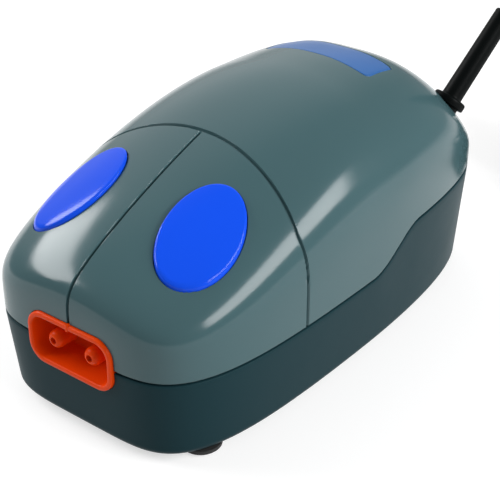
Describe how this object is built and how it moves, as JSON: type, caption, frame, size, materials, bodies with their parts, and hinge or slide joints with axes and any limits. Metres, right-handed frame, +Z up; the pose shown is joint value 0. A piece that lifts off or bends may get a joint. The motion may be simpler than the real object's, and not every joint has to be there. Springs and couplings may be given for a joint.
{
  "type": "aquarium air pump",
  "caption": "Mouse-shaped aquarium air pump: grey cover on a slate tray, blue oval pads, orange cowl with paired hose nozzles, swinging magnet arms on rubber bellows, black mains lead.",
  "frame": {"origin": "on the table under the middle of the housing, without the lead", "axes": "+Z up, -Y towards the nose with the outlets, +Y towards the tail, +X towards the side where the lead leaves"},
  "size_m": [0.1046, 0.262, 0.0895],
  "materials": {
    "cover_grey": "gloss",
    "tray_slate": "satin",
    "pad_blue": "gloss",
    "label_blue": "satin",
    "cowl_orange": "satin",
    "soft_rubber": "matte",
    "steel": "satin",
    "core_iron": "matte",
    "inner_plastic": "satin",
    "copper_wire": "gloss",
    "lead_red": "satin",
    "hose_clear": "satin",
    "arm_steel": "satin",
    "magnet_dark": "matte",
    "felt_white": "matte",
    "cord_black": "satin",
    "tie_black": "satin",
    "pin_nickel": "gloss"
  },
  "bodies": {
    "housing": {"top_cover": "cover_grey", "base_tray": "tray_slate", "left_oval_pad": "pad_blue", "right_oval_pad": "pad_blue", "label_plate": "label_blue", "outlet_fitting": "cowl_orange", "rubber_feet": "soft_rubber", "cover_screws": "steel", "iron_core": "core_iron", "coil_bobbin": "inner_plastic", "coil_winding": "copper_wire", "core_strap": "steel", "strap_screws": "steel", "coil_leads": "lead_red", "left_chamber": "inner_plastic", "right_chamber": "inner_plastic", "left_valve_plate": "inner_plastic", "right_valve_plate": "inner_plastic", "left_valve_flaps": "soft_rubber", "right_valve_flaps": "soft_rubber", "left_bellows": "soft_rubber", "right_bellows": "soft_rubber", "left_hose": "hose_clear", "right_hose": "hose_clear", "chamber_screws": "steel", "left_pivot_bracket": "inner_plastic", "right_pivot_bracket": "inner_plastic", "left_pivot_pin": "steel", "right_pivot_pin": "steel", "bracket_screws": "steel", "filter_cover": "tray_slate", "filter_felt": "felt_white", "strain_relief": "cord_black", "mains_cord": "cord_black", "cord_coil": "cord_black", "cord_tie": "tie_black", "plug_body": "cord_black", "plug_pins": "pin_nickel"},
    "left_arm": {"left_arm": "arm_steel", "left_magnet": "magnet_dark"},
    "right_arm": {"right_arm": "arm_steel", "right_magnet": "magnet_dark"}
  },
  "joints": [
    {"name": "left_arm_swing", "type": "hinge", "parent": "housing", "child": "left_arm", "pos_m": [-0.02225, -0.038, 0.0257], "axis": [0, 0, 1], "range_deg": [-1.5, 1.5], "stiffness_Nm_per_rad": 0.5, "deforming": ["left_bellows"]},
    {"name": "right_arm_swing", "type": "hinge", "parent": "housing", "child": "right_arm", "pos_m": [0.02225, -0.038, 0.0257], "axis": [0, 0, 1], "range_deg": [-1.5, 1.5], "stiffness_Nm_per_rad": 0.5, "deforming": ["right_bellows"]}
  ],
  "couplings": [
    {"joint": "right_arm_swing", "follows": "left_arm_swing", "ratio": -1}
  ]
}
